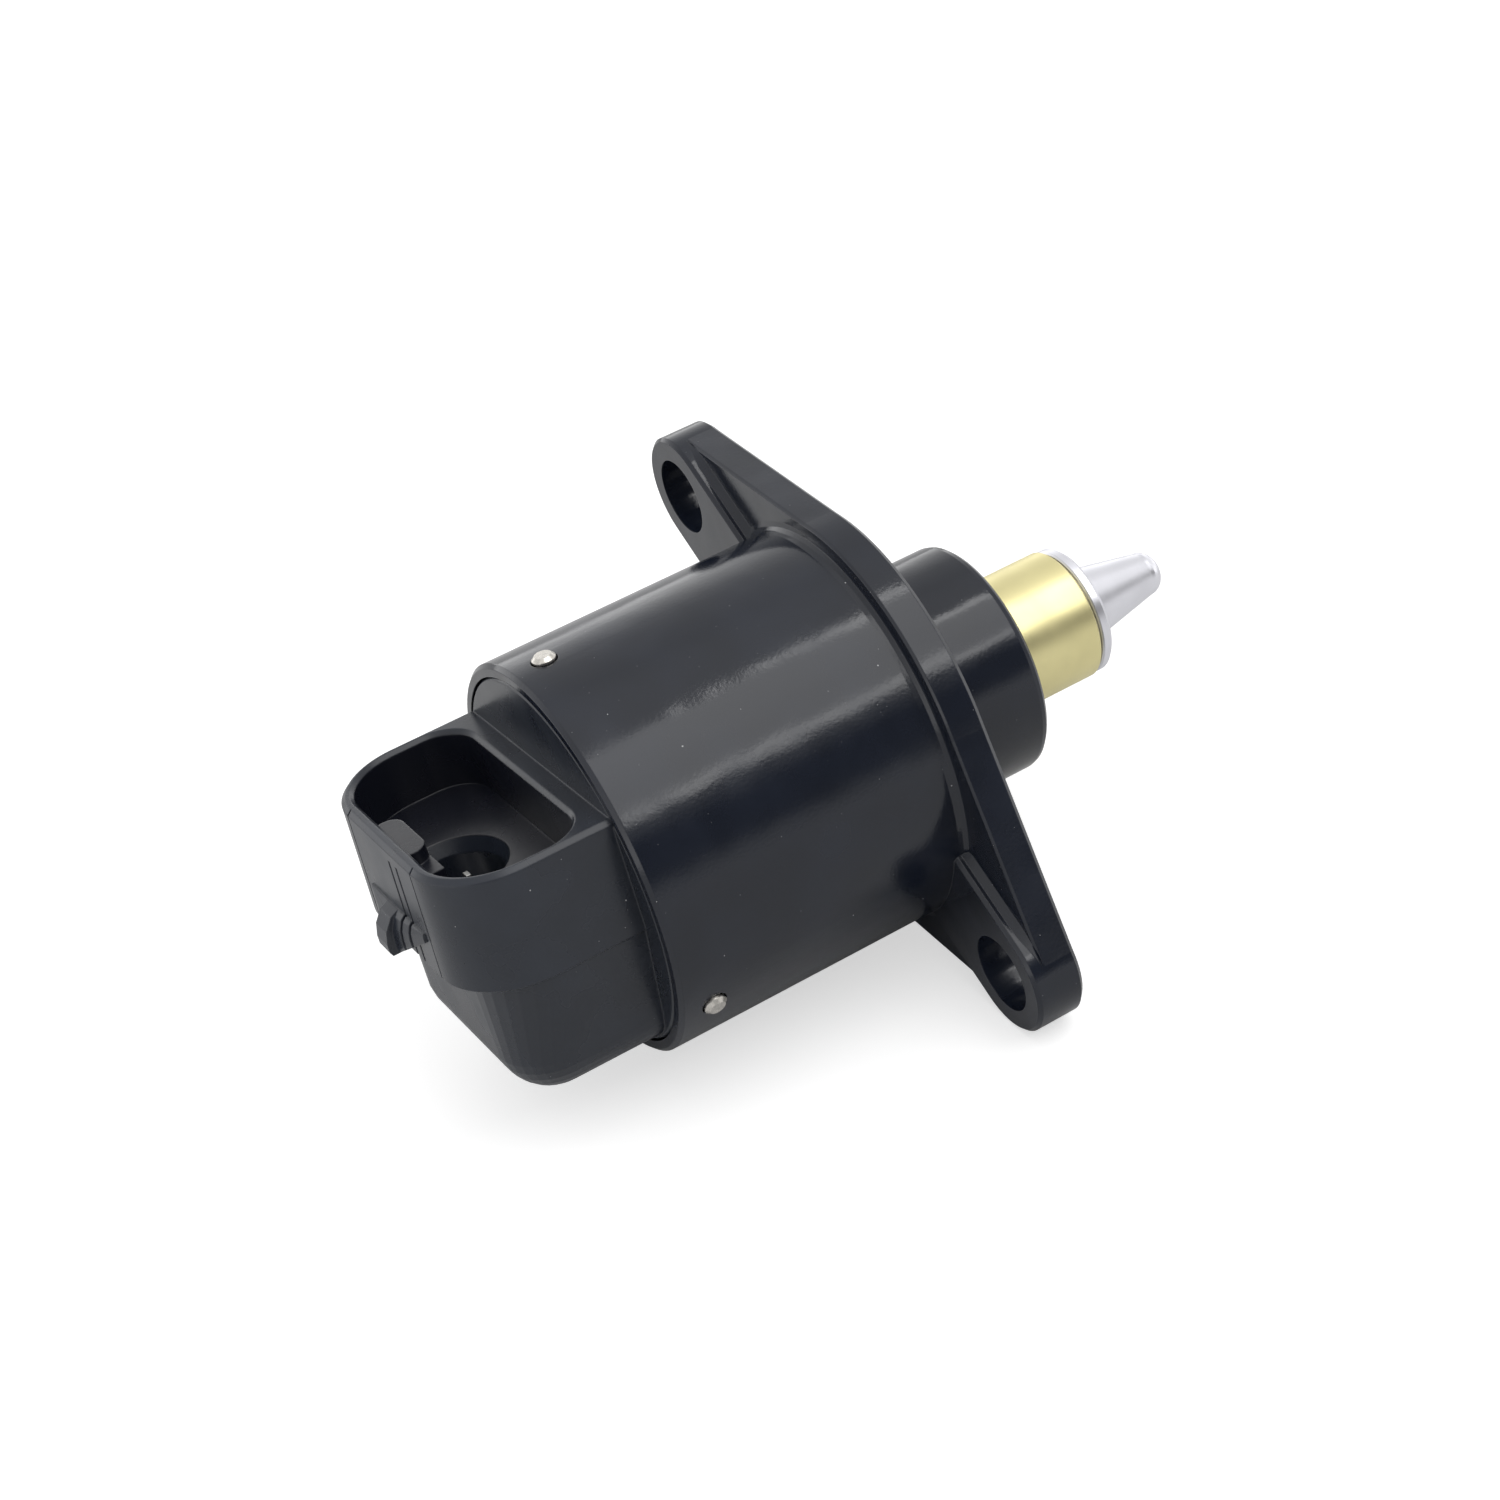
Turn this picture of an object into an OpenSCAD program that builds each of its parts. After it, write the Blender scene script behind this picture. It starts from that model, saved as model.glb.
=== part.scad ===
// Idle air control valve: a stepper motor in a moulded housing drives a plunger out of the nose.
// X runs along the valve axis toward the pintle, and Z is up as the valve lies on a bench.
// The origin is where the valve axis meets the mounting face of the flange.

/* [Body] */
// Outside diameter of the round body
body_d = 34.3; // [33.5:0.1:35]
// Distance from the mounting face back to the open rear rim
body_l = 29.8; // [29.6:0.1:34]
// Wall of the body round the cap
rim_wall = 1.05; // [0.9:0.05:1.3]
// Wall of the body round the motor
body_wall = 1.85; // [1.6:0.05:2.2]
// Bevel round the rear rim
rim_bevel = 0.35; // [0.1:0.05:0.5]

/* [Flange] */
// Distance from the valve axis to each bolt hole
hole_offset = 25; // [24.5:0.1:28]
// Diameter of the bolt holes
hole_d = 6.7; // [6:0.1:7.2]
// Thickness of the flange plate
plate_t = 3.15; // [2.6:0.05:4]
// Height of the pads round the bolt holes, above the plate
pad_h = 1.25; // [0.8:0.05:2]
// Radius of the flange round each bolt hole
ear_r = 5.3; // [4.8:0.1:6]
// Radius of the flange round the body
waist_r = 18.8; // [18.6:0.1:21]
// Bevel round the front edge of the plate
plate_bevel = 0.4; // [0.2:0.05:0.6]
// Bevel round the rear edge of the plate
plate_edge = 0.2; // [0.1:0.05:0.3]
// Fillet between the body and the plate
body_fillet = 0.8; // [0.4:0.1:0.9]
// Slope round the foot of the pads
pad_foot = 0.6; // [0.3:0.1:0.8]
// Bevel round the top of the pads
pad_bevel = 0.3; // [0.1:0.05:0.5]

/* [Nose] */
// Diameter of the spigot
spigot_d = 20.4; // [19:0.1:22]
// Length of the spigot in front of the mounting face
spigot_l = 10; // [8:0.1:12]
// Rounding of the end of the spigot
spigot_round = 0.8; // [0.4:0.1:1.2]

/* [Plunger] */
// Outside diameter of the sliding sleeve
sleeve_d = 11.55; // [11:0.05:12.5]
// Wall of the sleeve
sleeve_wall = 0.9; // [0.6:0.05:1.2]
// Length of the sleeve
sleeve_l = 15; // [14:0.1:15.5]
// Length of the sleeve that shows in front of the spigot
sleeve_show = 8.5; // [7.5:0.1:9]
// Gap between the sleeve and the disc of the pintle
groove_w = 0.2; // [0.1:0.05:0.4]
// Diameter of the disc of the pintle
disc_d = 11.3; // [10.6:0.1:11.5]
// Thickness of the disc of the pintle
disc_t = 1.1; // [0.8:0.1:1.6]
// Diameter of the cone where it leaves the disc
cone_d = 6.7; // [5.6:0.1:8]
// Diameter of the cone just behind its rounded tip
tip_d = 3.9; // [3:0.1:4.6]
// Length of the cone, with its tip
cone_l = 8.4; // [6:0.1:10]
// Travel of the plunger into the spigot, from the pose at rest
travel_in = 6.5; // [5:0.1:6.6]
// Travel of the plunger out of the spigot, from the pose at rest
travel_out = 1.5; // [1:0.1:2]

/* [Screw and guide] */
// Diameter of the lead screw
screw_d = 4; // [3.6:0.1:4.2]
// Distance across the two flats of the lead screw
flats_w = 3.3; // [2.8:0.1:3.4]
// Length of the lead screw
screw_l = 34; // [33:0.1:35]
// Depth of the lead screw in the pintle
screw_grip = 5; // [4:0.1:6]
// Distance from the disc of the pintle back to the end of the lead screw
screw_setback = 1.5; // [1:0.1:2]
// Length of the pintle inside the sleeve
sleeve_grip = 2.6; // [2:0.1:3.4]
// Wall of the pintle round the lead screw
stem_wall = 1.2; // [0.8:0.1:1.6]
// Outside diameter of the tube of the guide bush
guide_d = 7; // [6.4:0.1:7.8]
// Diameter of the foot of the guide bush
guide_foot_d = 9.2; // [8.4:0.1:10]
// Thickness of the foot of the guide bush
guide_foot_t = 2; // [1.4:0.1:2.1]
// Length of the tube of the guide bush in front of its foot
guide_l = 6; // [4:0.1:6.5]

/* [Motor] */
// Length of each of the two stator phases
phase_l = 7.2; // [6.8:0.1:7.3]
// Thickness of the stator steel
steel_t = 0.8; // [0.6:0.05:1]
// Radius of the stator bore, inside the claw poles
bore_r = 6.35; // [6.3:0.05:6.8]
// Number of claw poles on each stator plate
claws = 10; // [8:1:12]
// Length of each claw pole
claw_l = 4.8; // [4:0.1:5.2]
// Width of a claw pole at its root
claw_root = 1.8; // [1.4:0.05:1.9]
// Width of a claw pole at its tip
claw_tip = 1; // [0.6:0.05:1.3]
// Wall of the coil bobbins
bobbin_t = 0.6; // [0.4:0.05:0.8]
// Gap between each coil and the cup round it
coil_gap = 1.55; // [1.3:0.05:2.5]
// Radius of the rotor magnet
magnet_r = 6; // [5.6:0.05:6.1]
// Length of the rotor magnet
magnet_l = 12.6; // [10:0.1:12.8]
// Radius of the nut inside the magnet
nut_r = 4; // [3.6:0.05:4.4]
// Radius of the journals at both ends of the nut
journal_r = 2.9; // [2.7:0.05:3.1]
// Length of thread in the nut
thread_l = 6.2; // [4:0.1:7]
// Length of the nut behind the magnet
tail_l = 2.8; // [2.2:0.1:3]
// Gap round and behind the tail of the nut
tail_gap = 0.5; // [0.3:0.1:0.8]
// Relief of the thread in the rear of the nut
thread_relief = 0.35; // [0.2:0.05:0.5]

/* [Bearings] */
// Outside diameter of the ball bearing
bearing_d = 13; // [12:0.1:14]
// Width of the ball bearing
bearing_w = 3; // [2.6:0.1:3]
// Diameter of the balls
ball_d = 1.9; // [1.6:0.1:2]
// Number of balls
balls = 8; // [6:1:9]
// Outside diameter of the rear bush
rear_bush_d = 8.6; // [8:0.1:9.4]
// Length of the rear bush
rear_bush_l = 2.2; // [1.6:0.1:2.6]
// Thickness of the disc spring behind the rotor
spring_t = 0.25; // [0.15:0.05:0.35]

/* [Cap] */
// Length of the cap inside the body
plug_l = 6.6; // [6.4:0.1:7.2]
// Gap between the cap and the body
plug_gap = 0.12; // [0.05:0.01:0.2]
// Thickness of the sealing ring
seal_d = 1.3; // [1.1:0.05:1.5]
// Distance from the inner end of the cap to the middle of the sealing ring
seal_setback = 1.5; // [1.4:0.05:1.6]
// Diameter of the retaining pins
pin_d = 2; // [1.6:0.1:2.4]
// Length of the retaining pins
pin_l = 4.2; // [3.4:0.1:5]
// How far the retaining pins stand out of the body
pin_proud = 0.5; // [0.2:0.05:0.9]
// Distance from the rear rim to the retaining pins
pin_setback = 3.05; // [2.6:0.05:3.2]
// Bevel at both ends of the retaining pins
pin_edge = 0.3; // [0.1:0.05:0.5]
// Wall of the cap round the rear bush
bush_wall = 1; // [0.8:0.1:1.5]
// Width of the ring-shaped pocket round that wall
pocket_w = 4.7; // [3:0.1:5]
// Depth of that pocket
pocket_depth = 1.2; // [0.6:0.1:1.4]

/* [Connector] */
// Angle from the line of the bolt holes to the way that the socket faces
socket_turn = 50.5; // [40:0.5:60]
// Height of the socket's rim above the valve axis
rim_h = 9.3; // [8.5:0.1:10.5]
// Length of the connector behind the rear rim of the body
block_l = 14.55; // [14.35:0.05:16]
// Width of the connector
block_w = 27; // [25:0.1:28]
// Draft of the connector's walls from its lower edge up to its rim
draft = 0.3; // [0.1:0.05:0.5]
// Radius of the two rear corners of the connector
block_r = 7; // [6:0.1:7.4]
// Wall of the socket at the rear
end_wall = 1.5; // [1.3:0.05:1.6]
// Wall of the socket at its sides
side_wall = 1.15; // [0.9:0.05:1.4]
// Distance from the rear rim of the body to the mouth of the socket
socket_gap = 1.8; // [1.5:0.05:2]
// Radius of the two front corners of the socket
socket_r = 3.4; // [3:0.1:5]
// Radius of the two rear corners of the socket
socket_end_r = 5.5; // [4.5:0.1:5.6]
// Depth of the socket to its floor
socket_depth = 5.1; // [4.5:0.1:6]
// Radius of the well in the floor of the socket
well_r = 4.05; // [3.8:0.05:4.4]
// Width of the sloping edge of the well
well_lip = 0.65; // [0.4:0.05:0.9]
// Depth of the well below the floor of the socket
well_depth = 7; // [6:0.1:8]
// Distance between the socket's rear wall and the middle of the well
well_setback = 3.75; // [3.5:0.05:5]
// Distance from the valve axis down to the lower edge of the connector's walls
split_h = 0.7; // [0.5:0.1:3]
// Step between the sides of the connector and the narrower belly under them
side_step = 0.2; // [0.1:0.05:0.4]
// Radius of the lower edges of the belly
belly_r = 4.5; // [3.5:0.1:5]
// Distance from the valve axis to the bottom of the belly
belly_h = 13.3; // [12.5:0.1:14]
// Width of the belly across its bottom
belly_w = 22.6; // [20:0.1:23]
// Ledge between the rear face of the connector and the belly under it
belly_cut = 2.1; // [1:0.1:3]
// Width of the rib on the rear wall of the socket
rib_w = 6.6; // [5:0.1:7]
// How far the rib stands into the socket
rib_out = 1.8; // [1:0.1:2]
// Radius of the edges of the rib
rib_r = 1.3; // [0.8:0.1:1.6]
// Distance from the socket's rim down to the top of the rib
rib_drop = 0.6; // [0.3:0.1:1.5]
// Width of the key beside the rib
key_w = 2; // [1.2:0.1:2.4]
// Distance from the socket's rim down to the top of the key
key_drop = 1.8; // [1:0.1:3]

/* [Latch] */
// Distance from the socket's rim down to the top of the latch hook
latch_drop = 6.2; // [5.5:0.1:6.6]
// Height of the hook
hook_h = 3.6; // [3:0.1:3.7]
// Width of the hook
hook_w = 2.2; // [1.6:0.1:3]
// How far the hook stands out
hook_out = 1.75; // [1.4:0.05:2.2]
// Distance from the middle of the socket to the middle of the hook
hook_side = 0.9; // [0:0.1:1.4]
// How far the web beside the hook stands out
web_out = 1.1; // [0.7:0.05:1.3]
// Distance from the middle of the socket to each end of the web
web_reach = 5.4; // [4.5:0.1:6]
// Rise of the web's lower edge toward its ends
web_rise = 2.8; // [1.5:0.1:3]
// Distance between the slits beside the latch panel
panel_w = 12.8; // [12.4:0.1:14]
// Width of the slits beside the latch panel
slit_w = 0.16; // [0.1:0.02:0.3]
// Width of the two grooves on the latch panel
groove_cut = 0.35; // [0.2:0.05:0.6]
// Distance between the two grooves
groove_pitch = 1.45; // [1:0.05:2]
// Distance from the middle of the socket to the middle of the grooves
groove_side = 2.35; // [1.6:0.05:3]

/* [Terminals] */
// Thickness of the terminals
term_t = 0.8; // [0.6:0.05:1]
// Distance between neighbouring terminals
term_pitch = 2.6; // [2.2:0.1:3]
// Height of the terminals above the floor of the well
term_h = 5.2; // [4:0.1:5.6]
// Length of the points of the terminals
term_point = 0.6; // [0.4:0.05:0.8]
// Distance from the floor of the well down to the bend of the first pair
term_drop = 2.2; // [2:0.1:2.6]
// Distance between the bends of the two pairs
term_layer = 1.8; // [1.4:0.1:2]
// Distance from the inner end of the terminals to the inner face of the cap
term_setback = 0.3; // [0.2:0.05:0.5]

/* [Fits] */
// Radial clearance of every sliding and turning fit
run_clear = 0.05; // [0.03:0.01:0.08]
// Gap left at the end of the plunger's travel
stop_gap = 0.2; // [0.1:0.05:0.4]

/* [Hidden] */
$fn = 96;

// A little more than a cut needs, so that no skin is left on a face
over = 1;
// Play of the sealing ring in its groove, and step between the races and the housing
seal_slack = 0.025;
race_edge = 0.1;
body_r = body_d / 2;
// The valve lies on one straight edge of its flange, and this is the slope of the bolt holes' line then
rest_roll = asin((waist_r - ear_r) / hole_offset);
socket_roll = rest_roll + socket_turn - 90;

// Places along the valve axis, from the rear to the front
rim_x = -body_l;
plug_x = rim_x + plug_l;
middle_x = plug_x + phase_l;
motor_x = middle_x + phase_l;
race_x = motor_x + bearing_w;
sleeve_x = spigot_l + sleeve_show - sleeve_l;
bore_x = sleeve_x - travel_in - stop_gap;
disc_x = spigot_l + sleeve_show + groove_w;
cone_x = disc_x + disc_t;
screw_end_x = disc_x - screw_setback;
screw_x = screw_end_x - screw_l;
nut_front_x = race_x - race_edge;
magnet_x = (plug_x + motor_x - magnet_l) / 2;
nut_tail_x = magnet_x - tail_l;
pin_x = rim_x + pin_setback;
seal_x = plug_x - seal_setback;

// Radii that follow from the walls and clearances
mouth_r = body_r - rim_wall;
stack_r = body_r - body_wall;
plug_r = mouth_r - plug_gap;
seal_r = mouth_r - seal_d / 2 - seal_slack;
seal_floor_r = seal_r - seal_d / 2 - seal_slack;
stator_r = stack_r - run_clear;
claw_r = bore_r + steel_t;
coil_r = stator_r - steel_t - coil_gap;
sleeve_r = sleeve_d / 2;
sleeve_in_r = sleeve_r - sleeve_wall;
screw_r = screw_d / 2;
race_r = (journal_r + bearing_d / 2) / 2;

// The connector, seen along the way that its socket faces
block_end_x = rim_x - block_l;
socket_end_x = block_end_x + end_wall;
socket_front_x = rim_x - socket_gap;
socket_w = block_w - 2 * side_wall;
floor_h = rim_h - socket_depth;
well_x = socket_end_x + well_setback;
well_floor_h = floor_h - well_depth;
hook_top_h = rim_h - latch_drop;

// Colours
gloss_black = [0.03, 0.03, 0.035];
satin_black = [0.09, 0.09, 0.1];
steel = [0.62, 0.63, 0.65];
nickel = [0.8, 0.78, 0.72];
brass = [0.8, 0.66, 0.3];
gold = [0.82, 0.74, 0.42];
bright = [0.86, 0.87, 0.89];
copper = [0.72, 0.42, 0.2];
magnet_grey = [0.22, 0.22, 0.24];
nylon = [0.85, 0.83, 0.76];
rubber = [0.1, 0.1, 0.1];

// Points where straight sides touch a closed chain of round corners [x, y, radius]
function touch(a, b, inset) =
    let (d = [b[0] - a[0], b[1] - a[1]])
    let (l = norm(d))
    let (c = (a[2] - b[2]) / l)
    let (n = (c * d + sqrt(1 - c * c) * [d[1], -d[0]]) / l)
    [[a[0], a[1]] + (a[2] - inset) * n, [b[0], b[1]] + (b[2] - inset) * n];
function sides(corners, inset) =
    [for (i = [0:len(corners) - 1])
        each touch(corners[i], corners[(i + 1) % len(corners)], inset)];

// A flat outline round a chain of corners, drawn inward by an inset
module outline(corners, inset = 0) {
    polygon(sides(corners, inset));
    for (c = corners)
        translate([c[0], c[1]]) circle(r = c[2] - inset);
}

// A web between a chain of corners, from its lowest level to its highest, each [height, inset]
module levelled_web(corners, levels) {
    rows = [for (v = levels) [for (p = sides(corners, v[1])) [p[0], p[1], v[0]]]];
    n = len(rows[0]);
    top = n * (len(rows) - 1);
    polyhedron(
        points = [for (row = rows) each row],
        faces = concat([[for (i = [0:n - 1]) i]], [[for (i = [n - 1:-1:0]) top + i]],
            [for (k = [0:n:top - n]) for (i = [0:n - 1])
                [k + i, k + n + i, k + n + (i + 1) % n, k + (i + 1) % n]]));
}

// The web with a cone at each of its corners
module sloped_slab(corners, inset_low, inset_high, h) {
    levelled_web(corners, [[0, inset_low], [h, inset_high]]);
    for (c = corners)
        translate([c[0], c[1], 0]) cylinder(r1 = c[2] - inset_low, r2 = c[2] - inset_high, h = h);
}

// Solids on the valve axis
module along_x() {
    rotate([0, 90, 0]) children();
}
module turned(profile) {
    along_x() rotate_extrude() polygon(profile);
}
module barrel(r, x0, x1) {
    translate([x0, 0, 0]) along_x() cylinder(r = r, h = x1 - x0);
}
module ring(r_out, r_in, x0, x1) {
    difference() {
        barrel(r_out, x0, x1);
        barrel(r_in, x0 - over, x1 + over);
    }
}
// A flat outline in the plane of the flange, made solid from x0 to x1
module across_x(x0, x1) {
    translate([x0, 0, 0]) rotate([90, 0, 90]) linear_extrude(x1 - x0) children();
}
// A slab drawn on the plane at x, that rises toward the rear
module rearward(x) {
    translate([x, 0, 0]) mirror([1, 0, 0]) rotate([90, 0, 90]) children();
}
module in_flange() {
    rotate([rest_roll, 0, 0]) children();
}
module in_connector() {
    rotate([socket_roll, 0, 0]) children();
}

// Housing: body, flange and spigot in one moulding
web_step = 0.03;

module plate_disc(r) {
    turned([
        [0, -plate_t], [r - plate_edge, -plate_t], [r, plate_edge - plate_t],
        [r, -plate_bevel], [r - plate_bevel, 0], [0, 0]]);
}

// One disc at the waist, one in each ear, and a web between them just inside their rims
module flange_plate() {
    web = [[0, 0, waist_r - web_step], [hole_offset, 0, ear_r - web_step]];
    plate_disc(waist_r);
    for (s = [0, 180]) rotate([s, 0, 0]) {
        rotate([90, 0, 90]) levelled_web(web, [
            [-plate_t, plate_edge], [plate_edge - plate_t, 0], [-plate_bevel, 0], [0, plate_bevel]]);
        translate([0, hole_offset, 0]) plate_disc(ear_r);
    }
}

// Each pad runs from the body to its ear, with a sloping foot that stays on the plate
module pads() {
    pad = [[0, 0, ear_r], [hole_offset, 0, ear_r]];
    foot = [[0, 0, ear_r], [hole_offset - pad_foot / sin(rest_roll), 0, ear_r]];
    for (s = [0, 180]) rotate([s, 0, 0]) {
        across_x(-plate_t - pad_h + pad_bevel, -plate_t + over) outline(pad);
        rearward(-plate_t - pad_h + pad_bevel) sloped_slab(pad, 0, pad_bevel, pad_bevel);
        rearward(-plate_t) sloped_slab(foot, -pad_foot, 0, pad_foot);
    }
}

module housing_skin() {
    turned([
        [0, rim_x], [body_r - rim_bevel, rim_x], [body_r, rim_x + rim_bevel],
        for (a = [0:30:90])
            [body_r + body_fillet * (1 - cos(a)), -plate_t - body_fillet * (1 - sin(a))],
        [body_r + body_fillet, -plate_t + over], [0, -plate_t + over]]);
    turned([
        [0, -over], [spigot_d / 2, -over], [spigot_d / 2, spigot_l - spigot_round],
        for (a = [30:30:60])
            [spigot_d / 2 - spigot_round * (1 - cos(a)), spigot_l - spigot_round * (1 - sin(a))],
        [spigot_d / 2 - spigot_round, spigot_l], [0, spigot_l]]);
    in_flange() {
        flange_plate();
        pads();
    }
}

module housing() {
    color(gloss_black) difference() {
        housing_skin();
        barrel(mouth_r, rim_x - over, plug_x);
        barrel(stack_r, plug_x - over, motor_x);
        barrel(bearing_d / 2, motor_x - over, race_x);
        barrel(journal_r + tail_gap, race_x - over, bore_x);
        barrel(guide_foot_d / 2, bore_x - guide_foot_t, bore_x + over);
        barrel(sleeve_r + run_clear, bore_x, spigot_l + over);
        in_flange() for (s = [-1, 1])
            translate([0, s * hole_offset, 0])
                barrel(hole_d / 2, -plate_t - pad_h - over, over);
        pin_places() translate([0, 0, mouth_r - over])
            cylinder(d = pin_d + 2 * plug_gap, h = rim_wall + 2 * over);
    }
}

// Retaining pins: three on a circle, the first in line with the socket
module pin_place(k) {
    in_connector() rotate([120 * k, 0, 0]) translate([pin_x, 0, 0]) children();
}
module pin_places() {
    for (k = [0:2]) pin_place(k) children();
}
module retaining_pin(k) {
    r = pin_d / 2;
    color(nickel) pin_place(k) translate([0, 0, body_r + pin_proud - pin_l])
        rotate_extrude() polygon([
            [0, 0], [r - pin_edge, 0], [r, pin_edge], [r, pin_l - pin_edge],
            [r - pin_edge, pin_l], [0, pin_l]]);
}

// Cap: plug, connector block and socket in one moulding
front_r = 1.2;
block_corners = [
    [rim_x + front_r, -block_w / 2 + front_r, front_r], [rim_x + front_r, block_w / 2 - front_r, front_r],
    [block_end_x + block_r, block_w / 2 - block_r, block_r],
    [block_end_x + block_r, -block_w / 2 + block_r, block_r]];
socket_corners = [
    [socket_front_x - socket_r, -socket_w / 2 + socket_r, socket_r],
    [socket_front_x - socket_r, socket_w / 2 - socket_r, socket_r],
    [socket_end_x + socket_end_r, socket_w / 2 - socket_end_r, socket_end_r],
    [socket_end_x + socket_end_r, -socket_w / 2 + socket_end_r, socket_end_r]];
rib_corners = [
    [socket_end_x + rib_out - rib_r, -rib_w / 2 + rib_r, rib_r],
    [socket_end_x + rib_out - rib_r, rib_w / 2 - rib_r, rib_r],
    [socket_end_x - end_wall / 2, rib_w / 2 - rib_r, end_wall / 4],
    [socket_end_x - end_wall / 2, -rib_w / 2 + rib_r, end_wall / 4]];
rim_edge = 0.4;
split_edge = 0.15;
smooth = 32;

module block() {
    translate([0, 0, -split_h]) sloped_slab(block_corners, split_edge, 0, split_edge);
    translate([0, 0, split_edge - split_h])
        sloped_slab(block_corners, 0, draft, rim_h - rim_edge + split_h - split_edge);
    translate([0, 0, rim_h - rim_edge]) sloped_slab(block_corners, draft, draft + rim_edge, rim_edge);
}

module belly() {
    top_w = block_w / 2 - side_step;
    edge_w = belly_w / 2 - belly_r;
    edge_h = belly_r - belly_h;
    end_x = block_end_x + belly_cut;
    hull() for (s = [-1, 1]) {
        translate([rim_x + front_r, s * (top_w - front_r), -split_h]) disc(front_r);
        translate([end_x + block_r, s * (top_w - block_r), -split_h]) disc(block_r);
        translate([rim_x, s * edge_w, edge_h]) along_x() cylinder(r = belly_r, h = front_r, $fn = smooth);
        translate([end_x + belly_r, s * edge_w, edge_h]) sphere(r = belly_r, $fn = smooth);
    }
}
module disc(r) {
    cylinder(r = r, h = split_edge, $fn = smooth);
}

// The latch hook on the rear face of the connector, with a web that fades out on both sides
module hook_slice(w, out, h) {
    translate([block_end_x, w, hook_top_h]) rotate([90, 0, 0]) linear_extrude(w)
        polygon([
            [over, 0], [0, 0], [-out * 0.45, -h * 0.12], [-out * 0.85, -h * 0.4], [-out, -h * 0.7],
            [-out, -h * 0.9], [-out * 0.9, -h], [over, -h]]);
}
module latch() {
    thin = 0.1;
    translate([0, hook_side - hook_w / 2, 0]) hook_slice(hook_w, hook_out, hook_h);
    for (s = [-1, 1]) hull() {
        translate([0, hook_side + s * (hook_w / 2 - thin) - thin / 2, 0]) hook_slice(thin, web_out, hook_h);
        translate([0, s * (web_reach - thin) - thin / 2, 0]) hook_slice(thin, thin, hook_h - web_rise);
    }
}

module latch_cuts() {
    groove_top = rim_h - 3 * rim_edge;
    for (s = [-1, 1]) {
        translate([block_end_x - over, s * panel_w / 2 - slit_w / 2, -split_h])
            cube([over + end_wall / 2, slit_w, rim_h + split_h + over]);
        translate([block_end_x - hook_out, s * groove_pitch / 2 - groove_side - groove_cut / 2, -split_h])
            cube([hook_out + groove_cut, groove_cut, groove_top + split_h]);
    }
}

module cap_plug() {
    edge = rim_edge;
    difference() {
        turned([
            [0, rim_x], [plug_r - edge / 2, rim_x], [plug_r, rim_x + edge / 2], [plug_r, plug_x - edge],
            [plug_r - edge, plug_x], [0, plug_x]]);
        ring(plug_r + over, seal_floor_r, seal_x - seal_d * 0.7, seal_x + seal_d * 0.7);
        barrel(rear_bush_d / 2, plug_x - rear_bush_l, plug_x + over);
        barrel(journal_r + tail_gap, nut_tail_x - tail_gap, plug_x);
        ring(rear_bush_d / 2 + bush_wall + pocket_w, rear_bush_d / 2 + bush_wall,
            plug_x - pocket_depth, plug_x + over);
        pin_places() translate([0, 0, body_r + pin_proud - pin_l])
            cylinder(d = pin_d, h = pin_l + over);
    }
}

module socket_void() {
    lip_h = 1.8 * well_lip;
    translate([0, 0, floor_h]) linear_extrude(socket_depth + over) outline(socket_corners);
    translate([0, 0, rim_h - rim_bevel]) sloped_slab(socket_corners, 0, -rim_bevel, rim_bevel + 0.01);
    translate([well_x, 0, floor_h - lip_h]) cylinder(r1 = well_r, r2 = well_r + well_lip, h = lip_h + 0.001);
    translate([well_x, 0, well_floor_h]) cylinder(r = well_r, h = well_depth);
}

// The rib and the key on the rear wall of the socket, that let the plug in one way round
module socket_ribs() {
    translate([0, 0, floor_h - end_wall / 2])
        linear_extrude(socket_depth + end_wall / 2 - rib_drop) outline(rib_corners);
    translate([socket_end_x - end_wall / 2, -rib_w / 2 - key_w, floor_h - end_wall / 2])
        cube([end_wall / 2 + rib_out, key_w + rib_r, socket_depth + end_wall / 2 - key_drop]);
}

module connector_cap() {
    color(satin_black) {
        difference() {
            union() {
                cap_plug();
                in_connector() {
                    block();
                    belly();
                    latch();
                }
            }
            ring(body_r + over, plug_r, rim_x, plug_x);
            in_connector() {
                socket_void();
                latch_cuts();
                for (k = [1:4]) terminal_body(k);
            }
        }
        in_connector() difference() {
            socket_ribs();
            translate([well_x, 0, well_floor_h]) cylinder(r = well_r, h = well_depth + over);
        }
    }
}

module cap_seal() {
    color(rubber) along_x() rotate_extrude() translate([seal_r, seal_x]) circle(d = seal_d, $fn = 24);
}

// Terminals: four bent pins that run from the well of the socket to the motor
module terminal_body(k) {
    row = k > 2 ? 1 : -1;
    side = k % 2 == 0 ? 1 : -1;
    x = well_x - row * term_pitch / 2;
    tip = well_floor_h + term_h;
    bend = well_floor_h - term_drop - (row + 1) * term_layer / 2;
    end_x = plug_x - term_setback;
    h = term_t / 2;
    translate([0, side * term_pitch / 2 + h, 0]) rotate([90, 0, 0]) linear_extrude(term_t)
        polygon([
            [x - h, bend - h], [x - h, tip - term_point], [x - h / 2, tip], [x + h / 2, tip],
            [x + h, tip - term_point], [x + h, bend + h], [end_x, bend + h], [end_x, bend - h]]);
}
module terminal(k) {
    color(nickel) in_connector() terminal_body(k);
}

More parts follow.
